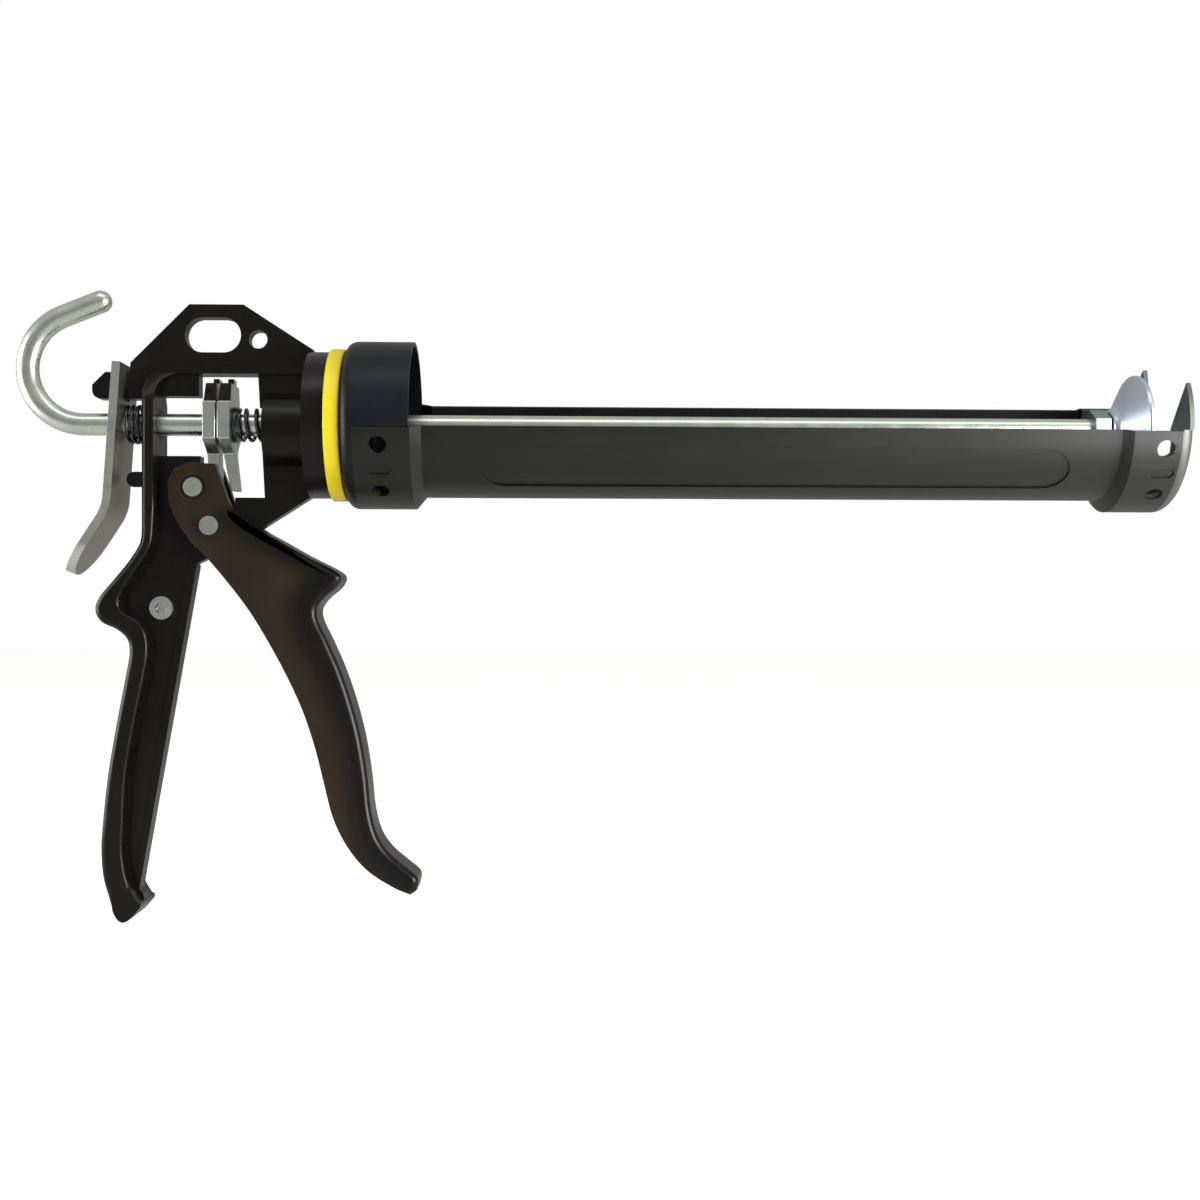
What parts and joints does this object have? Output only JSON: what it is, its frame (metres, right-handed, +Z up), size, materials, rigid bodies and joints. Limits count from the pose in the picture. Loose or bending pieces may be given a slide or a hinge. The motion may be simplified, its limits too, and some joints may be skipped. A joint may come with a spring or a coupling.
{
  "type": "cartridge caulking gun",
  "caption": "Hand-operated caulking gun: cast frame with grip, pivoted trigger, drive plates that grip a hooked plunger rod, release plate, and an open half-shell barrel that turns.",
  "frame": {"origin": "on the plunger rod's axis, at the inner face of the barrel cup's rear wall, where the cartridge seats", "axes": "+X forward along the plunger rod towards the nozzle, +Y to the left side of the gun, +Z up away from the grip"},
  "size_m": [0.4184, 0.0604, 0.2264],
  "materials": {
    "casting_black": "semi-gloss",
    "trigger_brown_black": "semi-gloss",
    "barrel_charcoal": "satin",
    "cup_charcoal": "satin",
    "cap_grey": "satin",
    "zinc_plate": "bright zinc plate",
    "piston_zinc": "bluish zinc plate",
    "spring_steel": "drawn wire",
    "hardened_steel": "ground",
    "bush_iron": "sintered, oiled",
    "ring_yellow": "gloss",
    "peg_rubber": "matt"
  },
  "bodies": {
    "frame": {"body_casting": "casting_black", "rod_bush_front": "bush_iron", "rod_bush_rear": "bush_iron", "stop_peg": "peg_rubber", "grip_screw": "zinc_plate", "grip_nut": "zinc_plate", "friction_ring": "ring_yellow", "spigot_washer": "zinc_plate", "spigot_nut": "zinc_plate", "trigger_pin": "zinc_plate", "trigger_pin_ring": "zinc_plate", "drive_spring": "spring_steel", "release_spring": "spring_steel"},
    "barrel": {"barrel_cup": "cup_charcoal", "barrel_shell": "barrel_charcoal", "front_cap": "cap_grey"},
    "piston": {"piston_plate": "piston_zinc", "piston_washer": "piston_zinc"},
    "rod": {"plunger_rod": "zinc_plate", "piston_rear_nut": "piston_zinc", "piston_front_nut": "piston_zinc"},
    "plates": {"drive_plate_rear": "zinc_plate", "drive_plate_front": "zinc_plate", "spring_washer": "spring_steel"},
    "trigger": {"trigger": "trigger_brown_black", "drive_pin": "zinc_plate", "drive_pin_ring": "zinc_plate"},
    "roller": {"drive_roller": "hardened_steel"},
    "release": {"release_plate": "zinc_plate"}
  },
  "joints": [
    {"name": "rod_slide", "type": "slide", "parent": "frame", "child": "piston", "axis": [1, 0, 0], "range_m": [-0.2615, 0.0075]},
    {"name": "rod_turn", "type": "hinge", "parent": "piston", "child": "rod", "pos_m": [0, 0, 0], "axis": [1, 0, 0], "range_deg": [-140, 140]},
    {"name": "barrel_turn", "type": "hinge", "parent": "frame", "child": "barrel", "pos_m": [0, 0, 0], "axis": [1, 0, 0], "continuous": true},
    {"name": "trigger_squeeze", "type": "hinge", "parent": "frame", "child": "trigger", "pos_m": [-0.0504, 0, -0.0367], "axis": [0, 1, 0], "range_deg": [0, 28], "stiffness_Nm_per_rad": 0.6, "springref_deg": -20.05},
    {"name": "drive_slide", "type": "slide", "parent": "frame", "child": "plates", "axis": [1, 0, 0], "range_m": [0, 0.0075], "deforming": ["drive_spring"]},
    {"name": "roller_spin", "type": "hinge", "parent": "trigger", "child": "roller", "pos_m": [-0.0564, 0, -0.0229], "axis": [0, 1, 0], "continuous": true},
    {"name": "release_press", "type": "hinge", "parent": "frame", "child": "release", "pos_m": [-0.0808, 0, 0.0186], "axis": [0, -1, 0], "range_deg": [0, 2.4], "stiffness_Nm_per_rad": 0.7, "springref_deg": -6.88, "deforming": ["release_spring"]}
  ],
  "couplings": [
    {"joint": "drive_slide", "follows": "trigger_squeeze", "m_per_rad": 0.015}
  ]
}
